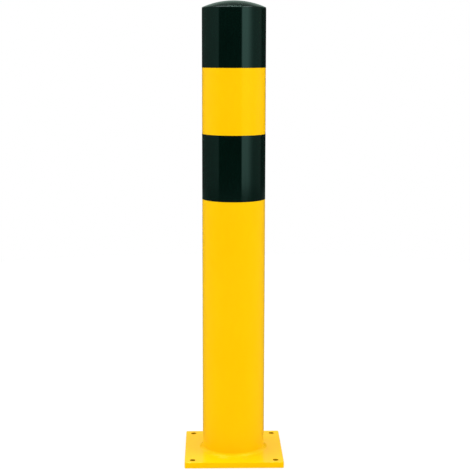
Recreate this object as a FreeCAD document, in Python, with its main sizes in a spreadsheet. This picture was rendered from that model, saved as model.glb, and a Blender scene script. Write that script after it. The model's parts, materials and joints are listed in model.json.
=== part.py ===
"""Impact protection bollard: a steel tube welded to a square base plate, with film bands and a domed cap.

Millimetres. The origin is the centre of the base plate's underside, +Z is up and -Y is the front.
"""

import enum
import math
import os

import FreeCAD
import Part
import Sketcher

PARTS_FOLDER = "parts"

# Driving dimensions: alias, value in millimetres or a count, and what it measures
DRIVING_DIMENSIONS = [
    ("overall_height", 1160, "base plate underside to the crown of the cap"),
    ("tube_diameter", 159, "outside of the post"),
    ("tube_wall", 4.5, "wall of the post"),
    ("tube_mouth_chamfer", 1, "lead-in for the cap, at the bore's top edge"),
    ("tube_rim_chamfer", 0.6, "outside edge of the post's top end"),
    ("plate_side", 250, "side of the square base plate"),
    ("plate_thickness", 15, "thickness of the base plate"),
    ("plate_corner_round", 4, "radius of the plate's four upright corners"),
    ("plate_edge_chamfer", 1, "deburred top and bottom edges of the plate"),
    ("bolt_hole_count", 4, "anchor holes, one at each corner of the plate"),
    ("bolt_hole_diameter", 14, "through hole for an M12 anchor"),
    ("bolt_hole_inset", 20, "hole centre to each of the two nearest plate edges"),
    ("bolt_hole_break", 0.6, "chamfer at both mouths of a hole"),
    ("weld_leg", 8, "fillet weld, along the tube and along the plate"),
    ("band_height", 164, "height of one field of colour, counted down from the crown"),
    ("fields_to_lower_band", 3, "fields of colour from the crown to the lower band's foot"),
    ("film_thickness", 0.2, "black adhesive film"),
    ("film_lap", 12, "overlap of the film's two ends, at the back"),
    ("cap_rise", 17, "crown of the dome above the cap's edge"),
    ("cap_flange", 4, "upright edge of the cap, which stands on the tube"),
    ("cap_edge_chamfer", 1, "45 degree bevel that takes off the top of the upright edge"),
    ("cap_wall", 3.5, "wall of the dome and of the plug"),
    ("roof_bend_radius", 36, "where the underside of the dome changes its slope"),
    ("plug_depth", 38, "how far the plug reaches into the tube"),
    ("plug_lead_in", 1.5, "chamfer at the plug's lower edge"),
    ("fin_count", 3, "gripping fins around the plug"),
    ("fin_reach", 4, "plug wall to the tube's bore"),
    ("fin_root", 2.2, "thickness of a fin at the plug"),
    ("fin_tip", 1.2, "thickness of a fin at its tip"),
    ("fin_sweep", 1.4, "how far a fin's tip is bent up"),
    ("fin_first", 8, "underside of the flange to the first fin"),
    ("fin_pitch", 9, "from one fin to the next"),
    ("fin_clearance", 0.1, "fin tip to the bore"),
]

# Two lengths closer than this are the same
SAME_LENGTH = 1e-4

FULL_TURN = math.degrees(math.tau)

doc = FreeCAD.newDocument("bollard")


def make_sheet():
    """The spreadsheet that every feature takes its sizes from."""
    sheet = doc.addObject("Spreadsheet::Sheet", "Size")
    for row, (alias, value, note) in enumerate(DRIVING_DIMENSIONS, start=1):
        sheet.set(f"A{row}", alias)
        sheet.set(f"B{row}", str(value))
        sheet.setAlias(f"B{row}", alias)
        sheet.set(f"C{row}", note)
    doc.recompute()
    return sheet


size = make_sheet()

# Worked-out sizes, as expressions on the sheet
TUBE_RADIUS = "Size.tube_diameter / 2"
BORE_RADIUS = f"({TUBE_RADIUS} - Size.tube_wall)"
TUBE_TOP = "(Size.overall_height - Size.cap_rise - Size.cap_flange)"
BOLT_OFFSET = "(Size.plate_side / 2 - Size.bolt_hole_inset)"
FILM_RADIUS = f"({TUBE_RADIUS} + Size.film_thickness)"
LAP_RADIUS = f"({TUBE_RADIUS} + 2 * Size.film_thickness)"
CROWN = "(Size.cap_flange + Size.cap_rise)"
DOME_RADIUS = f"((({TUBE_RADIUS}) ^ 2 + Size.cap_rise ^ 2) / (2 * Size.cap_rise))"
PLUG_RADIUS = f"({BORE_RADIUS} - Size.fin_reach)"
PLUG_INNER_RADIUS = f"({PLUG_RADIUS} - Size.cap_wall)"
FIN_RADIUS = f"({BORE_RADIUS} - Size.fin_clearance)"

# The dome's turning tool reaches past the cap by the thickness of its wall
DOME_CENTRE = f"({CROWN} - {DOME_RADIUS})"
TOOL_REACH = f"({TUBE_RADIUS} + Size.cap_wall)"
TOOL_EDGE_HEIGHT = f"({DOME_CENTRE} + sqrt({DOME_RADIUS} ^ 2 - {TOOL_REACH} ^ 2))"
TOOL_TOP = f"({CROWN} + Size.cap_rise)"

# The underside of the dome keeps the wall's thickness at its axis, its bend and the plug
ROOF_RADIUS = f"({DOME_RADIUS} - Size.cap_wall)"
ROOF_BEND_HEIGHT = f"({DOME_CENTRE} + sqrt({ROOF_RADIUS} ^ 2 - Size.roof_bend_radius ^ 2))"
ROOF_EDGE_HEIGHT = f"({DOME_CENTRE} + sqrt({ROOF_RADIUS} ^ 2 - {PLUG_INNER_RADIUS} ^ 2))"


def number(expression):
    """The present value of an expression on the sheet."""
    return float(size.evalExpression(expression))


def new_body(label, height="0"):
    """An empty body whose own zero level stands at a height above the floor."""
    body = doc.addObject("PartDesign::Body", label)
    body.Label = label
    if height != "0":
        body.setExpression("Placement.Base.z", height)
    return body


def origin_feature(body, role):
    """The body's own plane or axis with that role, such as XY_Plane."""
    return next(f for f in body.Origin.OriginFeatures if f.Role == role)


def new_sketch(body, name, role):
    sketch = body.newObject("Sketcher::SketchObject", name)
    sketch.AttachmentSupport = (origin_feature(body, role), [""])
    sketch.MapMode = "FlatFace"
    return sketch


def drive(sketch, constraint, name, expression):
    """Adds a dimension to a sketch and binds it to the sheet."""
    sketch.renameConstraint(sketch.addConstraint(constraint), name)
    sketch.setExpression(f"Constraints.{name}", expression)


class Axis(enum.IntEnum):
    """How a sketch numbers its own axes."""

    HORIZONTAL = -1
    VERTICAL = -2


class Point(enum.IntEnum):
    """How a sketch numbers the points of an edge."""

    START = 1
    END = 2
    CENTRE = 3


ORIGIN = (Axis.HORIZONTAL, Point.START)


def place_point(sketch, edge, end, name, across, up):
    """Fixes one end of an edge by its distances from the sketch's origin."""
    if across == "0":
        sketch.addConstraint(Sketcher.Constraint("PointOnObject", edge, end, Axis.VERTICAL))
    else:
        distance = Sketcher.Constraint("DistanceX", *ORIGIN, edge, end, number(across))
        drive(sketch, distance, name + "_x", across)
    if up == "0":
        sketch.addConstraint(Sketcher.Constraint("PointOnObject", edge, end, Axis.HORIZONTAL))
    else:
        distance = Sketcher.Constraint("DistanceY", *ORIGIN, edge, end, number(up))
        drive(sketch, distance, name + "_y", up)


def arc_between(first, last, radius):
    """An arc from first to last, with its centre to the left of the way there."""
    chord = last - first
    across = FreeCAD.Vector(-chord.y, chord.x, 0).normalize()
    centre = (first + last) / 2 + across * math.sqrt(radius**2 - chord.Length**2 / 4)
    angles = [math.atan2(p.y - centre.y, p.x - centre.x) for p in (first, last)]
    return Part.ArcOfCircle(Part.Circle(centre, FreeCAD.Vector(0, 0, 1), radius), *angles)


def draw_outline(sketch, corners, arcs=None):
    """A closed outline through named corners. Arcs gives the radius of an edge, by the corner it leaves."""
    arcs = arcs or {}
    names = list(corners)
    points = [FreeCAD.Vector(number(x), number(y), 0) for x, y in corners.values()]
    for first, last, name in zip(points, points[1:] + points[:1], names):
        if name in arcs:
            sketch.addGeometry(arc_between(first, last, number(arcs[name])))
        else:
            sketch.addGeometry(Part.LineSegment(first, last))
    for i in range(len(names)):
        joined = (i, Point.END, (i + 1) % len(names), Point.START)
        sketch.addConstraint(Sketcher.Constraint("Coincident", *joined))
    for i, name in enumerate(names):
        place_point(sketch, i, Point.START, name, *corners[name])
        if name in arcs:
            radius = Sketcher.Constraint("Radius", i, number(arcs[name]))
            drive(sketch, radius, name + "_radius", arcs[name])


def draw_circle(sketch, name, radius, across="0", up="0"):
    centre = FreeCAD.Vector(number(across), number(up), 0)
    edge = sketch.addGeometry(Part.Circle(centre, FreeCAD.Vector(0, 0, 1), number(radius)))
    if across == "0" and up == "0":
        sketch.addConstraint(Sketcher.Constraint("Coincident", edge, Point.CENTRE, *ORIGIN))
    else:
        place_point(sketch, edge, Point.CENTRE, name, across, up)
    drive(sketch, Sketcher.Constraint("Radius", edge, number(radius)), name + "_radius", radius)
    return edge


def draw_axis(sketch, name, reach, up):
    """A level construction line at a height, out to the same reach on both sides."""
    left, right = (FreeCAD.Vector(side * number(reach), number(up), 0) for side in (-1, 1))
    edge = sketch.addGeometry(Part.LineSegment(left, right), True)
    place_point(sketch, edge, Point.START, name + "_left", f"-{reach}", up)
    place_point(sketch, edge, Point.END, name + "_right", reach, up)


def pad(body, sketch, name, length):
    feature = body.newObject("PartDesign::Pad", name)
    feature.Profile = sketch
    feature.setExpression("Length", length)
    doc.recompute()
    return feature


def revolve(body, sketch, name):
    """A full turn of the sketch about its own vertical axis."""
    feature = body.newObject("PartDesign::Revolution", name)
    feature.Profile = sketch
    feature.ReferenceAxis = (sketch, ["V_Axis"])
    feature.Angle = FULL_TURN
    doc.recompute()
    return feature


def turn_away(body, sketch, name):
    """Cuts what the sketch sweeps in half a turn about its construction line, a quarter to each side."""
    feature = body.newObject("PartDesign::Groove", name)
    feature.Profile = sketch
    feature.ReferenceAxis = (sketch, ["Axis0"])
    feature.Angle = FULL_TURN / 2
    feature.Midplane = True
    doc.recompute()
    return feature


def dress_edges(body, base, kind, name, dimension, wanted):
    """A fillet or chamfer on every edge of the base for which wanted(edge) is true."""
    edges = [f"Edge{i}" for i, edge in enumerate(base.Shape.Edges, start=1) if wanted(edge)]
    feature = body.newObject(f"PartDesign::{kind}", name)
    feature.Base = (base, edges)
    feature.setExpression("Radius" if kind == "Fillet" else "Size", dimension)
    doc.recompute()
    return feature


def is_circle(edge, radius, height=None):
    """True for a circular edge of that radius, at that height in the body if one is given."""
    if edge.Degenerated or not isinstance(edge.Curve, Part.Circle):
        return False
    right_height = height is None or abs(edge.Curve.Center.z - height) < SAME_LENGTH
    return right_height and abs(edge.Curve.Radius - radius) < SAME_LENGTH


def is_upright(edge):
    """True for an edge whose two ends stand one above the other."""
    rise = edge.Vertexes[-1].Point - edge.Vertexes[0].Point
    return math.hypot(rise.x, rise.y) < SAME_LENGTH < abs(rise.z)


def make_base_plate():
    """Square plate with rounded corners, deburred edges and an anchor hole near each corner."""
    body = new_body("base_plate")
    square = new_sketch(body, "plate_square", "XY_Plane")
    half = "(Size.plate_side / 2)"
    draw_outline(square, {
        "front_left": (f"-{half}", f"-{half}"),
        "front_right": (half, f"-{half}"),
        "back_right": (half, half),
        "back_left": (f"-{half}", half),
    })
    slab = pad(body, square, "plate_slab", "Size.plate_thickness")
    rounded = dress_edges(body, slab, "Fillet", "plate_corners", "Size.plate_corner_round", is_upright)
    dress_edges(body, rounded, "Chamfer", "plate_edges", "Size.plate_edge_chamfer",
                lambda e: not is_upright(e))

    hole_sketch = new_sketch(body, "bolt_hole_circle", "XY_Plane")
    draw_circle(hole_sketch, "hole", "Size.bolt_hole_diameter / 2", BOLT_OFFSET, BOLT_OFFSET)
    hole = body.newObject("PartDesign::Pocket", "bolt_hole")
    hole.Profile = hole_sketch
    hole.Type = "Length"
    hole.Reversed = True
    hole.setExpression("Length", "Size.plate_thickness")
    doc.recompute()
    holes = body.newObject("PartDesign::PolarPattern", "bolt_holes")
    holes.Originals = [hole]
    holes.Axis = (origin_feature(body, "Z_Axis"), [""])
    holes.Angle = FULL_TURN
    holes.setExpression("Occurrences", "Size.bolt_hole_count")
    body.Tip = holes
    doc.recompute()
    hole_radius = number("Size.bolt_hole_diameter / 2")
    dress_edges(body, holes, "Chamfer", "bolt_hole_mouths", "Size.bolt_hole_break",
                lambda e: is_circle(e, hole_radius))
    return body


def make_post_tube():
    """Round tube that stands on the plate, with its top end chamfered inside for the cap."""
    body = new_body("post_tube", "Size.plate_thickness")
    ring = new_sketch(body, "tube_section", "XY_Plane")
    draw_circle(ring, "outside", TUBE_RADIUS)
    draw_circle(ring, "bore", BORE_RADIUS)
    length = f"({TUBE_TOP} - Size.plate_thickness)"
    wall = pad(body, ring, "tube_wall", length)
    top = number(length)
    mouth = dress_edges(body, wall, "Chamfer", "tube_mouth", "Size.tube_mouth_chamfer",
                        lambda e: is_circle(e, number(BORE_RADIUS), top))
    dress_edges(body, mouth, "Chamfer", "tube_rim", "Size.tube_rim_chamfer",
                lambda e: is_circle(e, number(TUBE_RADIUS), top))
    return body


def make_foot_weld():
    """Fillet weld round the foot of the tube."""
    body = new_body("foot_weld", "Size.plate_thickness")
    section = new_sketch(body, "weld_section", "XZ_Plane")
    draw_outline(section, {
        "root": (TUBE_RADIUS, "0"),
        "plate_toe": (f"({TUBE_RADIUS} + Size.weld_leg)", "0"),
        "tube_toe": (TUBE_RADIUS, "Size.weld_leg"),
    })
    revolve(body, section, "weld_ring")
    return body


def make_film_band(label, bottom, height):
    """Strip of film wrapped once round the tube, its ends lapped at the back."""
    body = new_body(label, bottom)
    section = new_sketch(body, label + "_section", "XY_Plane")
    half_lap = "(Size.film_lap / 2)"
    lap_angle = math.asin(number(half_lap) / number(FILM_RADIUS))
    back = math.pi / 2
    axis = FreeCAD.Vector(0, 0, 1)
    centre = FreeCAD.Vector(0, 0, 0)

    def at(radius, angle):
        return FreeCAD.Vector(radius * math.cos(angle), radius * math.sin(angle), 0)

    film, lap = number(FILM_RADIUS), number(LAP_RADIUS)
    left, right = back + lap_angle, back - lap_angle
    around = section.addGeometry(Part.ArcOfCircle(Part.Circle(centre, axis, film), left, right + math.tau))
    right_step = section.addGeometry(Part.LineSegment(at(film, right), at(lap, right)))
    over = section.addGeometry(Part.ArcOfCircle(Part.Circle(centre, axis, lap), right, left))
    left_step = section.addGeometry(Part.LineSegment(at(lap, left), at(film, left)))
    for arc in (around, over):
        section.addConstraint(Sketcher.Constraint("Coincident", arc, Point.CENTRE, *ORIGIN))
    loop = [around, right_step, over, left_step]
    for edge, following in zip(loop, loop[1:] + loop[:1]):
        joined = (edge, Point.END, following, Point.START)
        section.addConstraint(Sketcher.Constraint("Coincident", *joined))
    for step in (right_step, left_step):
        section.addConstraint(Sketcher.Constraint("PointOnObject", *ORIGIN, step))
    drive(section, Sketcher.Constraint("Radius", around, film), "film_radius", FILM_RADIUS)
    drive(section, Sketcher.Constraint("Radius", over, lap), "lap_radius", LAP_RADIUS)
    lap_ends = [("lap_right", Point.END, half_lap), ("lap_left", Point.START, "-" + half_lap)]
    for name, end, across in lap_ends:
        distance = Sketcher.Constraint("DistanceX", *ORIGIN, around, end, number(across))
        drive(section, distance, name, across)
    draw_circle(section, "tube", TUBE_RADIUS)
    pad(body, section, label + "_strip", height)
    return body


def make_end_cap():
    """Moulded cap: a thin domed head with an upright edge, on a plug with gripping fins."""
    body = new_body("end_cap", TUBE_TOP)
    section = new_sketch(body, "cap_section", "XZ_Plane")
    draw_outline(section, {
        "crown_inside": ("0", f"({CROWN} - Size.cap_wall)"),
        "roof_bend": ("Size.roof_bend_radius", ROOF_BEND_HEIGHT),
        "plug_inside_top": (PLUG_INNER_RADIUS, ROOF_EDGE_HEIGHT),
        "plug_inside_foot": (PLUG_INNER_RADIUS, "-Size.plug_depth"),
        "plug_outside_foot": (PLUG_RADIUS, "-Size.plug_depth"),
        "plug_outside_top": (PLUG_RADIUS, "0"),
        "flange_underside": (TUBE_RADIUS, "0"),
        "bevel_low": (TUBE_RADIUS, "(Size.cap_flange - Size.cap_edge_chamfer)"),
        "bevel_high": (f"({TUBE_RADIUS} - Size.cap_rise - Size.cap_edge_chamfer)", CROWN),
        "crown": ("0", CROWN),
    })
    revolve(body, section, "cap_blank")

    fin_sketch = new_sketch(body, "fin_section", "XZ_Plane")
    root_radius = f"({PLUG_RADIUS} - Size.cap_wall / 2)"
    first_top = "(-Size.fin_first)"
    draw_outline(fin_sketch, {
        "root_low": (root_radius, f"({first_top} - Size.fin_root)"),
        "wall_low": (PLUG_RADIUS, f"({first_top} - Size.fin_root)"),
        "tip_low": (FIN_RADIUS, f"({first_top} + Size.fin_sweep - Size.fin_tip)"),
        "tip_high": (FIN_RADIUS, f"({first_top} + Size.fin_sweep)"),
        "wall_high": (PLUG_RADIUS, first_top),
        "root_high": (root_radius, first_top),
    })
    fin = revolve(body, fin_sketch, "grip_fin")

    fins = body.newObject("PartDesign::LinearPattern", "grip_fins")
    fins.Originals = [fin]
    fins.Direction = (origin_feature(body, "Z_Axis"), [""])
    fins.Reversed = True
    fins.setExpression("Length", "Size.fin_pitch * (Size.fin_count - 1)")
    fins.setExpression("Occurrences", "Size.fin_count")
    body.Tip = fins
    doc.recompute()

    foot_height = number("-Size.plug_depth")
    dress_edges(body, fins, "Chamfer", "plug_foot", "Size.plug_lead_in",
                lambda e: is_circle(e, number(PLUG_RADIUS), foot_height))

    dome = new_sketch(body, "dome_outside", "XZ_Plane")
    draw_outline(dome, {
        "dome_right": (TOOL_REACH, TOOL_EDGE_HEIGHT),
        "dome_left": (f"-{TOOL_REACH}", TOOL_EDGE_HEIGHT),
        "tool_left": (f"-{TOOL_REACH}", TOOL_TOP),
        "tool_right": (TOOL_REACH, TOOL_TOP),
    }, arcs={"dome_right": DOME_RADIUS})
    draw_axis(dome, "dome_axis", TOOL_REACH, DOME_CENTRE)
    turn_away(body, dome, "dome")
    return body


def make_parts():
    """Every sub-part, from the floor up."""
    upper_bottom = "(Size.overall_height - Size.band_height)"
    lower_bottom = "(Size.overall_height - Size.fields_to_lower_band * Size.band_height)"
    return [
        make_base_plate(),
        make_post_tube(),
        make_foot_weld(),
        make_film_band("lower_band", lower_bottom, "Size.band_height"),
        make_film_band("upper_band", upper_bottom, f"({TUBE_TOP} - {upper_bottom})"),
        make_end_cap(),
    ]


def check(bodies):
    """Stops if a feature failed or a sub-part isn't one sound solid."""
    for feature in doc.Objects:
        if {"Invalid", "Error"} & set(feature.State):
            raise RuntimeError(f"{feature.Label} failed: {feature.State}")
    for body in bodies:
        shape = body.Shape
        if shape.isNull() or not shape.isValid() or len(shape.Solids) != 1:
            raise RuntimeError(f"{body.Label} isn't one sound solid")


def export(bodies):
    os.makedirs(PARTS_FOLDER, exist_ok=True)
    for body in bodies:
        body.Shape.exportStep(os.path.join(PARTS_FOLDER, body.Label + ".step"))
        low, high = body.Shape.BoundBox.ZMin, body.Shape.BoundBox.ZMax
        print(f"{body.Label}: {body.Shape.Volume:.0f} mm3, from {low:.1f} to {high:.1f} mm")


doc.recompute()
parts = make_parts()
doc.recompute()
check(parts)
export(parts)
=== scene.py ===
"""Looks of an impact protection bollard: a yellow coated steel post with black film bands and a black cap.

Metres, in the frame of the solids: the origin is the centre of the base plate's underside, +Z is up and
-Y is the front.
"""

import json
import math

import bmesh
import bpy
from mathutils import Matrix, Vector, noise


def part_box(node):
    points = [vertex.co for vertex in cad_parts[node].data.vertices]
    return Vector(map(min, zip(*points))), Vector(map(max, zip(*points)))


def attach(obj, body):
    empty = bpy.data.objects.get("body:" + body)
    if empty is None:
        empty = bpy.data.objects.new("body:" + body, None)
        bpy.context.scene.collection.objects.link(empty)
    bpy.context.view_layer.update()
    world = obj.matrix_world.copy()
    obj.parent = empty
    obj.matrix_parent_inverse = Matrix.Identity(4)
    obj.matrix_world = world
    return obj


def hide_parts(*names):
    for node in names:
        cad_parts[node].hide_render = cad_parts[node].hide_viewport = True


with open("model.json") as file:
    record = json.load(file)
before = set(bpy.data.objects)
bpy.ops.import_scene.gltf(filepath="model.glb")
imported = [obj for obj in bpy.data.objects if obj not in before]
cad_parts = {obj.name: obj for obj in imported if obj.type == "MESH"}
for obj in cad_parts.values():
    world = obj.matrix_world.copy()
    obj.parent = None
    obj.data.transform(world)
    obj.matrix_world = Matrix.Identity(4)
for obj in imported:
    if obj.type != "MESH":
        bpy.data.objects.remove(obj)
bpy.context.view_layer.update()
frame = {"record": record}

MM = 0.001

# Places read from the solids and the record
plate_low, plate_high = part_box("base_plate")
tube_low, tube_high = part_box("post_tube")
weld_low, weld_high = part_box("foot_weld")
cap_low, cap_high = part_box("end_cap")
mounts = {mount["name"]: mount for mount in frame["record"]["mounts"]}
bolts = mounts["floor_bolts"]["dims"]
bolt_corner = Vector((bolts["spacing_x_mm"], bolts["spacing_y_mm"], 0)) * MM / 2

# Sizes of the plate, the post, the weld and the film
PLATE_CORNER_ROUND = 4.0 * MM
PLATE_EDGE_ROUND = 1.0 * MM
HOLE_RADIUS = bolts["hole_r_mm"] * MM
HOLE_BREAK = 0.6 * MM
TUBE_RADIUS = 79.5 * MM
TUBE_WALL = 4.5 * MM
TUBE_RIM_ROUND = 0.6 * MM
WELD_LEG = weld_high.z - weld_low.z
WELD_HOLLOW = 1.0 * MM
FILM_THICKNESS = 0.2 * MM

# Sizes of the cap. Its fins are set out downwards from the tube's top rim.
CAP_RISE = 17.0 * MM
CAP_EDGE_ROUND = 1.1 * MM
CAP_WALL = 3.5 * MM
FIN_REACH = 4.0 * MM
FIN_CLEARANCE = 0.1 * MM
FIN_FIRST = 8.0 * MM
FIN_PITCH = 9.0 * MM
FIN_COUNT = 3
FIN_ROOT = 2.2 * MM
FIN_TIP = 1.2 * MM
FIN_SWEEP = 1.4 * MM

# Steps round the post. The film's lap takes FILM_LAP_STEPS of them, which is 12 mm.
ROUND_STEPS = 250
FILM_LAP_STEPS = 6
WELD_STEPS = 750
WELD_FACE_STEPS = 12
DOME_STEPS = 32
HOLE_STEPS = 48

# Edges sharper than this stay crisp, and points nearer than this count as one
SHARP_ANGLE = math.radians(40)
SAME_PLACE = 0.01 * MM


def profile(bm, points):
    """A closed outline in the XZ plane through (radius, height) points."""
    verts = [bm.verts.new((radius, 0.0, height)) for radius, height in points]
    edges = [bm.edges.new(pair) for pair in zip(verts, verts[1:] + verts[:1])]
    return verts + edges


def turn(points, steps=ROUND_STEPS):
    """A ring or solid of revolution about the post's axis."""
    bm = bmesh.new()
    outline = profile(bm, points)
    bmesh.ops.spin(
        bm, geom=outline, cent=(0, 0, 0), axis=(0, 0, 1), angle=math.tau, steps=steps, use_merge=True
    )
    bmesh.ops.remove_doubles(bm, verts=bm.verts, dist=SAME_PLACE)
    bmesh.ops.dissolve_degenerate(bm, edges=bm.edges, dist=SAME_PLACE / 2)
    bmesh.ops.recalc_face_normals(bm, faces=bm.faces)
    return bm


def ring_edges(bm, radius, height):
    """The edges that lie on a circle about the post's axis."""
    near = 2 * SAME_PLACE

    def on_ring(vert):
        return abs(math.hypot(vert.co.x, vert.co.y) - radius) < near and abs(vert.co.z - height) < near

    return [edge for edge in bm.edges if all(on_ring(vert) for vert in edge.verts)]


def round_over(bm, edges, width, segments):
    """Rounds edges over, as a coat or a mould does."""
    bmesh.ops.bevel(
        bm, geom=edges, offset=width, segments=segments, profile=0.5, affect="EDGES", material=-1
    )


def finish_piece(bm, name, node, material):
    """Makes the mesh an object that stands for its CAD node and takes its finish from a slot."""
    mesh = bpy.data.meshes.new(name)
    bm.to_mesh(mesh)
    bm.free()
    mesh.shade_smooth()
    mesh.set_sharp_from_angle(angle=SHARP_ANGLE)
    mesh.materials.append(material)
    piece = bpy.data.objects.new(name, mesh)
    bpy.context.scene.collection.objects.link(piece)
    weighted = piece.modifiers.new("face_weighted_normals", "WEIGHTED_NORMAL")
    weighted.keep_sharp = True
    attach(piece, "root")
    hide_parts(node)


def base_plate(material):
    """Square plate with rounded corners and four plain holes, its edges softened by the coat."""
    side = plate_high.x - plate_low.x
    thickness = plate_high.z - plate_low.z
    faces_at = (plate_low.z, plate_high.z)
    bm = bmesh.new()
    bmesh.ops.create_cube(bm, size=1.0)
    bmesh.ops.scale(bm, vec=(side, side, thickness), verts=bm.verts)
    bmesh.ops.translate(bm, vec=(plate_low + plate_high) / 2, verts=bm.verts)
    upright = [edge for edge in bm.edges if abs(edge.verts[0].co.z - edge.verts[1].co.z) > thickness / 2]
    round_over(bm, upright, PLATE_CORNER_ROUND, segments=8)
    nearly_level = 0.9
    top_and_underside = [face for face in bm.faces if abs(face.normal.z) > nearly_level]
    bmesh.ops.delete(bm, geom=top_and_underside, context="FACES_ONLY")

    holes = []
    for x in (-bolt_corner.x, bolt_corner.x):
        for y in (-bolt_corner.y, bolt_corner.y):
            mouths = []
            for height in faces_at:
                place = Matrix.Translation((x, y, height))
                made = bmesh.ops.create_circle(bm, segments=HOLE_STEPS, radius=HOLE_RADIUS, matrix=place)
                mouths += {edge for vert in made["verts"] for edge in vert.link_edges}
            holes.append(mouths)
    for height in faces_at:
        level = []
        for edge in bm.edges:
            if all(abs(vert.co.z - height) < SAME_PLACE for vert in edge.verts):
                level.append(edge)
        bmesh.ops.triangle_fill(bm, use_beauty=True, edges=level, normal=(0, 0, 1))
    for mouths in holes:
        bmesh.ops.bridge_loops(bm, edges=mouths)
    bmesh.ops.recalc_face_normals(bm, faces=bm.faces)

    hole_rims = [edge for mouths in holes for edge in mouths if edge.is_valid]
    rims = set(hole_rims)
    corner = math.radians(60)
    outline = [edge for edge in bm.edges if edge not in rims and edge.calc_face_angle(0) > corner]
    round_over(bm, outline, PLATE_EDGE_ROUND, segments=4)
    round_over(bm, [edge for edge in hole_rims if edge.is_valid], HOLE_BREAK, segments=2)
    finish_piece(bm, "base_plate_coated", "base_plate", material)


def post_tube(material):
    """Open tube with a softened outside rim at the top."""
    bore = TUBE_RADIUS - TUBE_WALL
    foot = tube_low.z
    rim = tube_high.z
    bm = turn([(bore, foot), (TUBE_RADIUS, foot), (TUBE_RADIUS, rim), (bore, rim)])
    round_over(bm, ring_edges(bm, TUBE_RADIUS, rim), TUBE_RIM_ROUND, segments=2)
    finish_piece(bm, "post_tube_coated", "post_tube", material)


def weld_outline():
    """The weld's section: its root in the corner, and a hollow face from the plate up to the tube."""
    chord = math.hypot(WELD_LEG, WELD_LEG)
    face_radius = (chord**2 / 4 + WELD_HOLLOW**2) / (2 * WELD_HOLLOW)
    half_turn = math.asin(chord / 2 / face_radius)
    middle = Vector((WELD_LEG, WELD_LEG)) / 2
    centre = middle + middle.normalized() * (face_radius - WELD_HOLLOW)
    towards_root = math.radians(225)
    section = [(0.0, 0.0)]
    for i in range(WELD_FACE_STEPS + 1):
        angle = towards_root + half_turn * (1 - 2 * i / WELD_FACE_STEPS)
        section.append((centre.x + face_radius * math.cos(angle), centre.y + face_radius * math.sin(angle)))
    return [(TUBE_RADIUS + out, weld_low.z + up) for out, up in section]


def foot_weld(material):
    """Coated fillet weld with a slightly hollow face, faint crescents along it and an uneven width."""
    crescent_count = 77
    crescent_bow = 0.25
    crescent_depth = 0.16 * MM
    lump_height = 0.6 * MM
    lump_crowding = 11.0
    lump_start = 3.1
    lump_drift = 0.9
    bm = turn(weld_outline(), WELD_STEPS)
    for vert in bm.verts:
        out = math.hypot(vert.co.x, vert.co.y) - TUBE_RADIUS
        up = vert.co.z - weld_low.z
        if out < SAME_PLACE and up < SAME_PLACE:
            continue
        azimuth = math.atan2(vert.co.y, vert.co.x)
        radial = Vector((math.cos(azimuth), math.sin(azimuth), 0))
        across = (out - up) / WELD_LEG
        belly = max(0.0, 1 - across**2)
        crescent = 0.5 * math.cos(azimuth * crescent_count - math.tau * crescent_bow * belly)
        lump = noise.noise(radial * lump_crowding + Vector((0, 0, lump_start + lump_drift * across)))
        swell = (crescent_depth * crescent + lump_height * lump) * belly
        vert.co += (radial + Vector((0, 0, 1))).normalized() * swell
    finish_piece(bm, "foot_weld_coated", "foot_weld", material)


def film_band(name, node, material):
    """Strip of film wrapped round the post, with a lap at the back."""
    low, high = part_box(node)
    outside = TUBE_RADIUS + FILM_THICKNESS
    bm = turn([(TUBE_RADIUS, low.z), (outside, low.z), (outside, high.z), (TUBE_RADIUS, high.z)])
    step = math.tau / ROUND_STEPS
    back = math.pi / 2
    near_outside = TUBE_RADIUS + 0.8 * FILM_THICKNESS
    bmesh.ops.rotate(bm, verts=bm.verts, matrix=Matrix.Rotation(back % step, 3, "Z"))
    lap = []
    for face in bm.faces:
        middle = face.calc_center_median()
        turned = math.atan2(middle.y, middle.x) - back
        outer = math.hypot(middle.x, middle.y) > near_outside
        if outer and abs(turned) < step * FILM_LAP_STEPS / 2:
            lap.append(face)
    raised = bmesh.ops.extrude_face_region(bm, geom=lap)
    for vert in (item for item in raised["geom"] if isinstance(item, bmesh.types.BMVert)):
        outward = Vector((vert.co.x, vert.co.y, 0)).normalized()
        vert.co += outward * FILM_THICKNESS
    bmesh.ops.delete(bm, geom=[face for face in lap if face.is_valid], context="FACES")
    bmesh.ops.recalc_face_normals(bm, faces=bm.faces)
    finish_piece(bm, name, node, material)


def end_cap(material):
    """Moulded cap: thin dome with an upright edge, on a plug with gripping fins."""
    seat = tube_high.z
    crown = cap_high.z
    edge = crown - CAP_RISE
    dome_radius = (TUBE_RADIUS**2 + CAP_RISE**2) / (2 * CAP_RISE)
    dome_centre = crown - dome_radius
    bore = TUBE_RADIUS - TUBE_WALL
    plug = bore - FIN_REACH
    plug_inside = plug - CAP_WALL
    fin_radius = bore - FIN_CLEARANCE

    def dome(radius, reach):
        """Points of a dome from its axis out to a reach."""
        for i in range(DOME_STEPS + 1):
            x = reach * i / DOME_STEPS
            yield x, dome_centre + math.sqrt(radius**2 - x**2)

    fins = []
    for i in range(FIN_COUNT):
        top = seat - FIN_FIRST - i * FIN_PITCH
        tip = top + FIN_SWEEP
        fins += [(plug, top), (fin_radius, tip), (fin_radius, tip - FIN_TIP), (plug, top - FIN_ROOT)]
    outside = list(dome(dome_radius, TUBE_RADIUS))
    inside = list(dome(dome_radius - CAP_WALL, plug_inside))
    foot = [(plug, cap_low.z), (plug_inside, cap_low.z)]
    bm = turn(outside + [(TUBE_RADIUS, seat), (plug, seat)] + fins + foot + inside[::-1])
    round_over(bm, ring_edges(bm, TUBE_RADIUS, edge), CAP_EDGE_ROUND, segments=6)
    finish_piece(bm, "end_cap_moulded", "end_cap", material)


def add(tree, kind, **values):
    """A node with its inputs set by name, and its other properties too."""
    node = tree.nodes.new(kind)
    for key, value in values.items():
        if key in node.inputs:
            node.inputs[key].default_value = value
        else:
            setattr(node, key, value)
    return node


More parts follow.
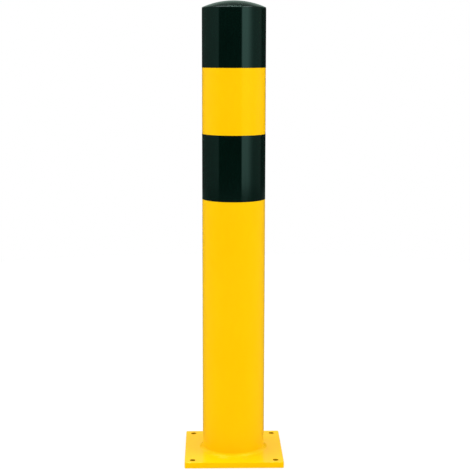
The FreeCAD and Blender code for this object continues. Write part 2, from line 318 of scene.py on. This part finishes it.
def feed(tree, socket, source):
    """Links a socket to another one, or sets it to a plain value."""
    if isinstance(source, bpy.types.NodeSocket):
        tree.links.new(source, socket)
    else:
        socket.default_value = source


def reckon(tree, operation, *terms):
    """A number worked out from sockets and plain numbers."""
    node = add(tree, "ShaderNodeMath", operation=operation)
    for socket, term in zip(node.inputs, terms):
        feed(tree, socket, term)
    return node.outputs["Value"]


def reckon_vector(tree, operation, *terms, result="Vector"):
    """A vector, or with another result a number, worked out from vectors."""
    node = add(tree, "ShaderNodeVectorMath", operation=operation)
    for socket, term in zip(node.inputs, terms):
        feed(tree, socket, term)
    return node.outputs[result]


def spread(tree, source, start, end, low, high):
    """Numbers from low to high as the source goes from start to end."""
    node = add(tree, "ShaderNodeMapRange")
    ends = {"Value": source, "From Min": start, "From Max": end, "To Min": low, "To Max": high}
    for name, value in ends.items():
        feed(tree, node.inputs[name], value)
    return node.outputs["Result"]


def colour_between(tree, share, first, second):
    """A colour that goes from the first to the second as the share goes from 0 to 1."""
    node = add(tree, "ShaderNodeMix", data_type="RGBA")
    first_colour, second_colour = node.inputs[6:8]
    mixed_colour = node.outputs[2]
    feed(tree, node.inputs["Factor"], share)
    feed(tree, first_colour, first)
    feed(tree, second_colour, second)
    return mixed_colour


def own_place(tree):
    """The place on the piece, in the frame of the solids."""
    return add(tree, "ShaderNodeTexCoord").outputs["Object"]


def noise_at(tree, scale, stretch=(1, 1, 1), detail=3.0):
    """Noise on the piece's own place, in cycles a metre."""
    mapping = add(tree, "ShaderNodeMapping", Scale=stretch)
    tree.links.new(own_place(tree), mapping.inputs["Vector"])
    texture = add(tree, "ShaderNodeTexNoise", Scale=scale, Detail=detail)
    tree.links.new(mapping.outputs["Vector"], texture.inputs["Vector"])
    return texture.outputs["Fac"]


# Most of the noise lies between these two values
NOISE_LOW = 0.3
NOISE_HIGH = 0.7


def clouds(tree, source, low=0.0, high=1.0):
    """Numbers that drift between low and high with a noise."""
    return spread(tree, source, NOISE_LOW, NOISE_HIGH, low, high)


def relief(tree, height, strength, distance):
    """Fine unevenness of the surface."""
    node = add(tree, "ShaderNodeBump", Strength=strength, Distance=distance)
    tree.links.new(height, node.inputs["Height"])
    return node.outputs["Normal"]


def new_finish(name):
    """An empty finish and its shader."""
    material = bpy.data.materials.new(name)
    material.use_nodes = True
    tree = material.node_tree
    return material, tree, tree.nodes["Principled BSDF"]


def dress(tree, shader, colour, roughness, normal, reflection_tint):
    """Gives a shader its colour, gloss and relief, and the tint of its reflections."""
    tree.links.new(colour, shader.inputs["Base Color"])
    tree.links.new(roughness, shader.inputs["Roughness"])
    tree.links.new(normal, shader.inputs["Normal"])
    shader.inputs["Specular Tint"].default_value = reflection_tint


def inside_bolt_holes(tree):
    """1 on the wall of a bolt hole and 0 elsewhere."""
    folded = reckon_vector(tree, "ABSOLUTE", own_place(tree))
    flat = reckon_vector(tree, "MULTIPLY", folded, (1, 1, 0))
    from_axis = reckon_vector(tree, "DISTANCE", flat, bolt_corner, result="Value")
    return reckon(tree, "LESS_THAN", from_axis, HOLE_RADIUS + HOLE_BREAK / 2)


def yellow_powder_coat():
    """Glossy powder coat: strong yellow, faint orange peel, cloudy gloss, and painted shade on the walls of
    the bolt holes.
    """
    material, tree, shader = new_finish("yellow_powder_coat")
    tone = clouds(tree, noise_at(tree, scale=5.0))
    coat_colour = colour_between(tree, tone, (0.945, 0.535, 0.001, 1), (0.955, 0.550, 0.002, 1))
    # Painted shade: the walls of the bolt holes take a darker brown, for the little light that reaches into
    # them.
    colour = colour_between(tree, inside_bolt_holes(tree), coat_colour, (0.50, 0.30, 0.003, 1))
    gloss = clouds(tree, noise_at(tree, scale=60.0, detail=4.0), low=0.11, high=0.16)
    ripples = noise_at(tree, scale=420.0, detail=1.0)
    orange_peel = relief(tree, ripples, strength=0.05, distance=0.2 * MM)
    dress(tree, shader, colour, gloss, orange_peel, reflection_tint=(1.0, 0.65, 0.06, 1))
    return material


def black_film():
    """Glossy black adhesive film, with faint upright waves from its pull round the post."""
    material, tree, shader = new_finish("black_film")
    tone = clouds(tree, noise_at(tree, scale=14.0))
    colour = colour_between(tree, tone, (0.0004, 0.0048, 0.0030, 1), (0.0006, 0.0056, 0.0036, 1))
    gloss = clouds(tree, noise_at(tree, scale=90.0, stretch=(1, 1, 0.08)), low=0.07, high=0.11)
    waves = noise_at(tree, scale=55.0, stretch=(1, 1, 0.05), detail=1.0)
    pull = relief(tree, waves, strength=0.02, distance=0.3 * MM)
    dress(tree, shader, colour, gloss, pull, reflection_tint=(0.68, 1.0, 1.0, 1))
    return material


def black_cap_plastic():
    """Black moulded plastic, a little softer in gloss than the film."""
    material, tree, shader = new_finish("black_cap_plastic")
    tone = clouds(tree, noise_at(tree, scale=30.0))
    colour = colour_between(tree, tone, (0.0010, 0.0050, 0.0034, 1), (0.0014, 0.0062, 0.0044, 1))
    gloss = clouds(tree, noise_at(tree, scale=120.0, detail=4.0), low=0.14, high=0.20)
    pits = noise_at(tree, scale=1100.0, detail=2.0)
    grain = relief(tree, pits, strength=0.04, distance=0.05 * MM)
    dress(tree, shader, colour, gloss, grain, reflection_tint=(0.75, 1.0, 1.0, 1))
    return material


WHITE = (1, 1, 1, 1)
FLOOR_RADIUS = 3.0
FLOOR_STEPS = 96
# The share of its light that the floor shows to the camera, and the share that it gives back to the object
FLOOR_SEEN_ALBEDO = 0.20
FLOOR_ALBEDO = 0.78
# The even fill from the world, and the light on the open floor, where the soft boxes come on top of the fill
FILL_LEVEL = 0.90
FLOOR_LIGHT = 1.20


def background_rays(tree):
    """1 for the rays that show the white background, and 0 for the rays that bring light."""
    rays = add(tree, "ShaderNodeLightPath").outputs
    mirrored = reckon(tree, "MAXIMUM", rays["Is Glossy Ray"], rays["Is Transmission Ray"])
    return reckon(tree, "MAXIMUM", rays["Is Camera Ray"], mirrored)


def glow_of(tree, colour, strength):
    """Light given off by a piece of the studio."""
    node = add(tree, "ShaderNodeEmission", Color=colour)
    tree.links.new(strength, node.inputs["Strength"])
    return node.outputs["Emission"]


def stage_piece(bm, name, only_reflections=False):
    """Sets up a piece of the studio. Gives its material's nodes and the socket that takes its surface."""
    mesh = bpy.data.meshes.new(name)
    bm.to_mesh(mesh)
    bm.free()
    piece = bpy.data.objects.new(name, mesh)
    bpy.context.scene.collection.objects.link(piece)
    if only_reflections:
        piece.visible_camera = False
        piece.visible_diffuse = False
        piece.visible_shadow = False
    material = bpy.data.materials.new(name)
    material.use_nodes = True
    tree = material.node_tree
    tree.nodes.clear()
    mesh.materials.append(material)
    return tree, add(tree, "ShaderNodeOutputMaterial").inputs["Surface"]


def white_floor():
    """White floor that keeps a faint shadow and runs into the white background."""
    bm = bmesh.new()
    bmesh.ops.create_circle(bm, cap_ends=True, segments=FLOOR_STEPS, radius=FLOOR_RADIUS)
    tree, surface = stage_piece(bm, "white_floor")
    seen = background_rays(tree)
    lit = add(tree, "ShaderNodeBsdfDiffuse")
    tree.links.new(spread(tree, seen, 0, 1, FLOOR_ALBEDO, FLOOR_SEEN_ALBEDO), lit.inputs["Color"])
    level = reckon(tree, "MULTIPLY", seen, 1.0 - FLOOR_SEEN_ALBEDO * FLOOR_LIGHT)
    both = add(tree, "ShaderNodeAddShader")
    tree.links.new(lit.outputs["BSDF"], both.inputs[0])
    tree.links.new(glow_of(tree, WHITE, level), both.inputs[1])
    tree.links.new(both.outputs["Shader"], surface)


def studio_world():
    """White background, and an even fill for the light."""
    world = bpy.data.worlds.new("studio")
    bpy.context.scene.world = world
    world.use_nodes = True
    tree = world.node_tree
    tree.nodes.clear()
    background = add(tree, "ShaderNodeBackground", Color=WHITE)
    level = spread(tree, background_rays(tree), 0, 1, FILL_LEVEL, 1.0)
    tree.links.new(level, background.inputs["Strength"])
    output = add(tree, "ShaderNodeOutputWorld")
    tree.links.new(background.outputs["Background"], output.inputs["Surface"])


TENT_RADIUS = 6.0
TENT_CENTRE = Vector((0, 0, 0.9))
TENT_COLOUR = (0.74, 1.0, 0.86, 1)
# The cloth on the tent's floor lies just above the white floor
CLOTH_HEIGHT = 0.2 * MM
CLOTH_BRIGHTNESS = 0.10
# The tent's wall: degrees to the right of the front, and brightness. An upright soft box is at 28 to 66.
TENT_ROUND = [
    (-180, 0.03), (-150, 0.06), (-120, 0.15), (-58, 0.36), (-55, 0.02), (26, 0.02), (29, 1.45), (48, 1.40),
    (66, 0.50), (74, 0.32), (108, 0.22), (118, 0.04), (150, 0.03), (180, 0.03),
]
# The wall dims towards the floor: degrees up where that starts and ends, and the share of light left there
WALL_DIM_UP = 4.0
WALL_DIM_DOWN = -14.0
WALL_DIM_SHARE = 0.6
# The tent's roof: degrees up, and brightness
TENT_UP = [
    (5, 0.0), (8, 0.36), (13, 0.36), (17, 0.50), (22, 0.48), (26, 0.40), (32, 0.23), (37, 0.16), (42, 0.11),
    (50, 0.08), (90, 0.08),
]
# A round panel overhead, a little behind the post, lights the cap's edge. Its middle, half-width and soft
# edge are in degrees.
PANEL_AZIMUTH = 180.0
PANEL_UP = 76.0
PANEL_HALF = 10.0
PANEL_EDGE = 3.0
PANEL_BRIGHTNESS = 20.0


def way_to(azimuth, up):
    """The direction at so many degrees to the right of the front, and so many up."""
    azimuth = math.radians(azimuth)
    up = math.radians(up)
    return Vector((math.sin(azimuth) * math.cos(up), -math.cos(azimuth) * math.cos(up), math.sin(up)))


def ramp(tree, value, stops):
    """A brightness that follows the stops, and holds before the first one and after the last."""
    low = min(stops[0][0], 0)
    high = stops[-1][0]
    node = add(tree, "ShaderNodeValToRGB")
    elements = node.color_ramp.elements
    while len(elements) < len(stops):
        elements.new(0.5)
    for element, (at, bright) in zip(elements, stops):
        element.position = (at - low) / (high - low)
        element.color = (bright, bright, bright, 1)
    tree.links.new(spread(tree, value, low, high, 0, 1), node.inputs["Fac"])
    return node.outputs["Color"]


def tent_shell():
    """A dome over the floor, closed below by a cloth."""
    bm = bmesh.new()
    bmesh.ops.create_uvsphere(bm, u_segments=64, v_segments=32, radius=TENT_RADIUS)
    bmesh.ops.translate(bm, vec=TENT_CENTRE, verts=bm.verts)
    whole = bm.verts[:] + bm.edges[:] + bm.faces[:]
    cloth = (0, 0, CLOTH_HEIGHT)
    bmesh.ops.bisect_plane(bm, geom=whole, plane_co=cloth, plane_no=(0, 0, 1), clear_inner=True)
    bmesh.ops.holes_fill(bm, edges=[edge for edge in bm.edges if edge.is_boundary])
    return bm


def tent_brightness(tree):
    """The tent's light by direction: its wall and roof, the panel in the roof, and the cloth below."""
    way = reckon_vector(tree, "NORMALIZE", reckon_vector(tree, "SUBTRACT", own_place(tree), TENT_CENTRE))
    split = add(tree, "ShaderNodeSeparateXYZ")
    tree.links.new(way, split.inputs["Vector"])
    right, back, above = split.outputs
    front = reckon(tree, "MULTIPLY", back, -1.0)
    azimuth = reckon(tree, "DEGREES", reckon(tree, "ARCTAN2", right, front))
    up = reckon(tree, "DEGREES", reckon(tree, "ARCSINE", above))

    dimmed = spread(tree, up, WALL_DIM_DOWN, WALL_DIM_UP, WALL_DIM_SHARE, 1.0)
    wall = reckon(tree, "MULTIPLY", ramp(tree, azimuth, TENT_ROUND), dimmed)
    room = reckon(tree, "MAXIMUM", wall, ramp(tree, up, TENT_UP))
    panel_way = way_to(PANEL_AZIMUTH, PANEL_UP)
    nearness = reckon_vector(tree, "DOT_PRODUCT", way, panel_way, result="Value")
    panel_rim = math.cos(math.radians(PANEL_HALF + PANEL_EDGE))
    panel_full = math.cos(math.radians(PANEL_HALF - PANEL_EDGE))
    panel = spread(tree, nearness, panel_rim, panel_full, 0.0, PANEL_BRIGHTNESS)

    cloth_edge = -math.degrees(math.asin((TENT_CENTRE.z - 2 * CLOTH_HEIGHT) / TENT_RADIUS))
    level = add(tree, "ShaderNodeMix", B=CLOTH_BRIGHTNESS)
    tree.links.new(reckon(tree, "LESS_THAN", up, cloth_edge), level.inputs["Factor"])
    tree.links.new(reckon(tree, "MAXIMUM", room, panel), level.inputs["A"])
    return level.outputs["Result"]


def studio_tent():
    """Dim tent with a soft box in its wall, which only reflections see."""
    tree, surface = stage_piece(tent_shell(), "studio_tent", only_reflections=True)
    tree.links.new(glow_of(tree, TENT_COLOUR, tent_brightness(tree)), surface)


SOFT_BOX_DISTANCE = 5.0


def soft_box(name, azimuth, up, side, brightness):
    """Square soft box that looks at the foot of the post from an azimuth and a height, in degrees."""
    way = way_to(azimuth, up)
    lamp = bpy.data.lights.new(name, "AREA")
    lamp.shape = "SQUARE"
    lamp.size = side
    lamp.energy = brightness * math.pi * side**2
    box = bpy.data.objects.new(name, lamp)
    box.location = way * SOFT_BOX_DISTANCE
    box.rotation_euler = way.to_track_quat("Z", "Y").to_euler()
    bpy.context.scene.collection.objects.link(box)
    return box


# Camera: its place and aim, and how far it stands round the post, so that the base plate looks turned
CAMERA_DISTANCE = 2.945
CAMERA_HEIGHT = 1.037
CAMERA_PITCH = math.radians(8.93)
CAMERA_ROLL = math.radians(0.10)
CAMERA_AIM = math.radians(0.067)
PLATE_TURN = math.radians(1.19)
FOCAL_PIXELS = 1172.0
FRAME_PIXELS = 470


def front_camera():
    """Camera in front of the post, a little below its top, that looks down at its middle."""
    data = bpy.data.cameras.new("camera")
    data.sensor_width = 36.0
    data.lens = data.sensor_width * FOCAL_PIXELS / FRAME_PIXELS
    camera = bpy.data.objects.new("camera", data)
    bpy.context.scene.collection.objects.link(camera)
    stand = Matrix.Rotation(-PLATE_TURN, 4, "Z") @ Matrix.Translation((0, -CAMERA_DISTANCE, CAMERA_HEIGHT))
    aim = Matrix.Rotation(-CAMERA_AIM, 4, "Z") @ Matrix.Rotation(math.pi / 2 - CAMERA_PITCH, 4, "X")
    camera.matrix_world = stand @ aim @ Matrix.Rotation(CAMERA_ROLL, 4, "Z")
    bpy.context.scene.camera = camera


yellow = yellow_powder_coat()
film = black_film()
base_plate(yellow)
post_tube(yellow)
foot_weld(yellow)
film_band("lower_film_band", "lower_band", film)
film_band("upper_film_band", "upper_band", film)
end_cap(black_cap_plastic())

white_floor()
studio_world()
studio_tent()
soft_box("left_top_box", azimuth=-78, up=67, side=2.2, brightness=4.7)
soft_box("back_left_box", azimuth=-150, up=70, side=2.0, brightness=3.0)
soft_box("right_top_box", azimuth=70, up=62, side=1.8, brightness=6.6)
roof_box = soft_box("roof_box", azimuth=6, up=80, side=2.0, brightness=1.9)
roof_box.visible_glossy = False
front_camera()
bpy.context.scene.view_settings.view_transform = "Standard"
